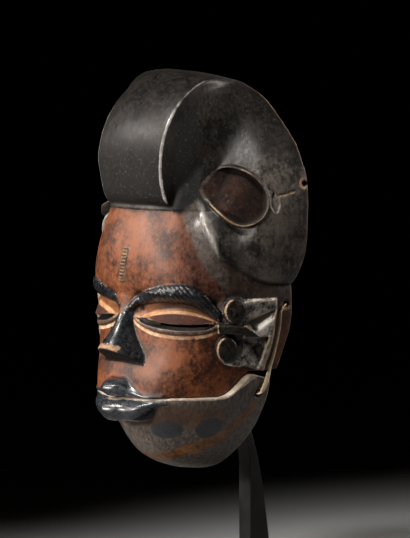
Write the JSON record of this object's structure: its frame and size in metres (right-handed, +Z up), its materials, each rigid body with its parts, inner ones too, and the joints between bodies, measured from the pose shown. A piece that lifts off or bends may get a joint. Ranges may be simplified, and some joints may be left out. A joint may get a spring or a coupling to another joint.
{
  "type": "carved wooden face mask with hinged jaw on stand",
  "caption": "Carved wooden face mask with a rolled crest, side curls, closed eyes and a hinged lower jaw, held by a bent bar on a flat foot.",
  "frame": {"origin": "middle of the underside of the stand's foot", "axes": "+Z up, the mask looks along -Y, +X is the mask's own left"},
  "size_m": [0.174, 0.145, 0.3532],
  "materials": {
    "carved_wood": "hand-carved, painted in black and red-brown, worn and polished by handling",
    "jaw_wood": "hand-carved, thin grey paint over brown, worn pale at the upper edge",
    "split_cane": "pale split cane, dry and matt",
    "black_steel": "black, satin"
  },
  "bodies": {
    "head": {"mask": "carved_wood", "jaw_tie_left": "split_cane", "jaw_tie_right": "split_cane", "stand_post": "black_steel", "stand_base": "black_steel"},
    "lower_jaw": {"jaw": "jaw_wood"}
  },
  "joints": [
    {"name": "jaw_hinge", "type": "hinge", "parent": "head", "child": "lower_jaw", "pos_m": [0, -0.008, 0.149], "axis": [1, 0, 0], "range_deg": [0, 18]}
  ]
}
